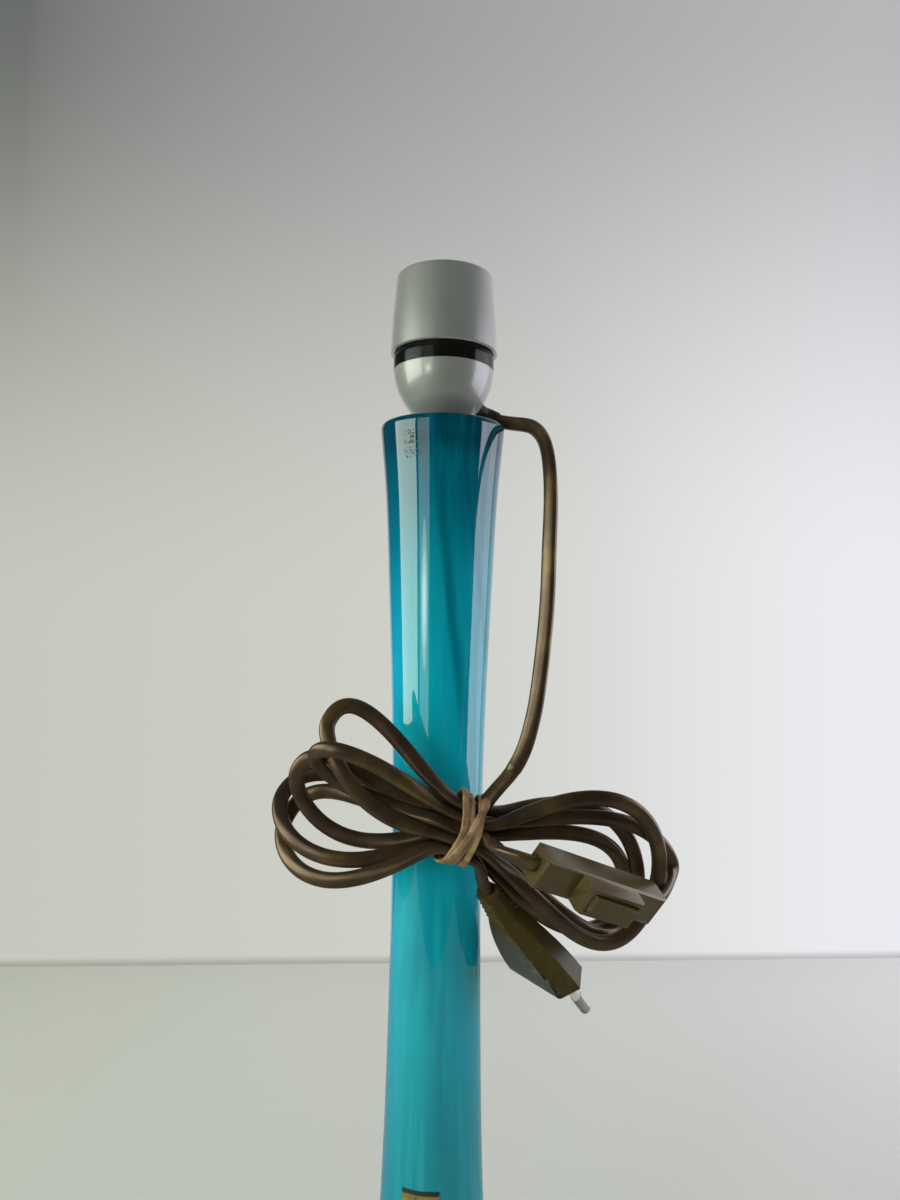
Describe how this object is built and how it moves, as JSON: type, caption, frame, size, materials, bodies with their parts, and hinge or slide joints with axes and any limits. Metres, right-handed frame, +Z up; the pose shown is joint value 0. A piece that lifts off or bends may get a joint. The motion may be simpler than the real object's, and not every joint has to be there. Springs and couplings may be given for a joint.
{
  "type": "glass table lamp",
  "caption": "Bottle-shaped glass table lamp with a screw lamp holder on its mouth, put away with its cord, in-line rocker switch and plug in a banded hank.",
  "frame": {"origin": "middle of the underside of the foot, on the table", "axes": "+Z up along the lamp's axis, -Y towards the hank of cord"},
  "size_m": [0.147, 0.1011, 0.438],
  "materials": {
    "teal_glass": "gloss",
    "dark_felt": "matte",
    "gold_foil": "satin",
    "black_rubber": "matte",
    "zinc_steel": "satin",
    "grey_shell": "gloss",
    "grey_sleeve": "satin",
    "black_collar": "gloss",
    "white_block": "matte",
    "brass_contact": "satin",
    "core_insulation": "satin",
    "brown_cord": "satin",
    "tan_rubber": "matte",
    "brown_plastic": "satin",
    "nickel_pins": "satin",
    "pale_sleeve": "satin"
  },
  "bodies": {
    "lamp": {"base_pad": "dark_felt", "glass_body": "teal_glass", "foil_label": "gold_foil", "mouth_bung": "black_rubber", "bung_washer": "zinc_steel", "threaded_nipple": "zinc_steel", "nipple_nuts": "zinc_steel", "holder_dome": "grey_shell", "cord_gland": "brown_plastic", "holder_collar": "black_collar", "contact_block": "white_block", "screw_shell": "brass_contact", "shell_rivets": "brass_contact", "centre_strap": "brass_contact", "side_contact": "brass_contact", "holder_terminals": "brass_contact", "holder_terminal_screws": "zinc_steel", "holder_wires": "core_insulation", "cord_lead": "brown_cord", "cord_hank_lamp_side": "brown_cord", "cord_hank_plug_side": "brown_cord", "rubber_band": "tan_rubber", "switch_cover": "brown_plastic", "switch_base": "brown_plastic", "rocker_pin": "zinc_steel", "bridge_post": "brass_contact", "switch_terminals": "brass_contact", "switch_terminal_screws": "zinc_steel", "switch_wires": "core_insulation", "switch_case_screws": "zinc_steel", "plug_body": "brown_plastic", "plug_pins": "nickel_pins", "plug_pin_sleeves": "pale_sleeve"},
    "sleeve": {"holder_sleeve": "grey_sleeve"},
    "rocker": {"switch_rocker": "brown_plastic", "rocker_plunger": "white_block"},
    "bridge": {"contact_bridge": "brass_contact"},
    "contact": {"centre_contact": "brass_contact"}
  },
  "joints": [
    {"name": "sleeve_lift", "type": "slide", "parent": "lamp", "child": "sleeve", "axis": [0, 0, 1], "range_m": [0, 0.022]},
    {"name": "rocker_tilt", "type": "hinge", "parent": "lamp", "child": "rocker", "pos_m": [0.05561, -0.0406, 0.21583], "axis": [0.5031, -0.2819, 0.8169], "range_deg": [0, 10]},
    {"name": "bridge_tilt", "type": "hinge", "parent": "lamp", "child": "bridge", "pos_m": [0.05368, -0.03475, 0.21904], "axis": [0.5031, -0.2819, 0.8169], "range_deg": [-8, 0]},
    {"name": "centre_contact_press", "type": "hinge", "parent": "lamp", "child": "contact", "pos_m": [-0.0064, 0, 0.4131], "axis": [0, 1, 0], "range_deg": [0, 8], "stiffness_Nm_per_rad": 0.2}
  ],
  "couplings": [
    {"joint": "bridge_tilt", "follows": "rocker_tilt", "ratio": -0.8}
  ]
}
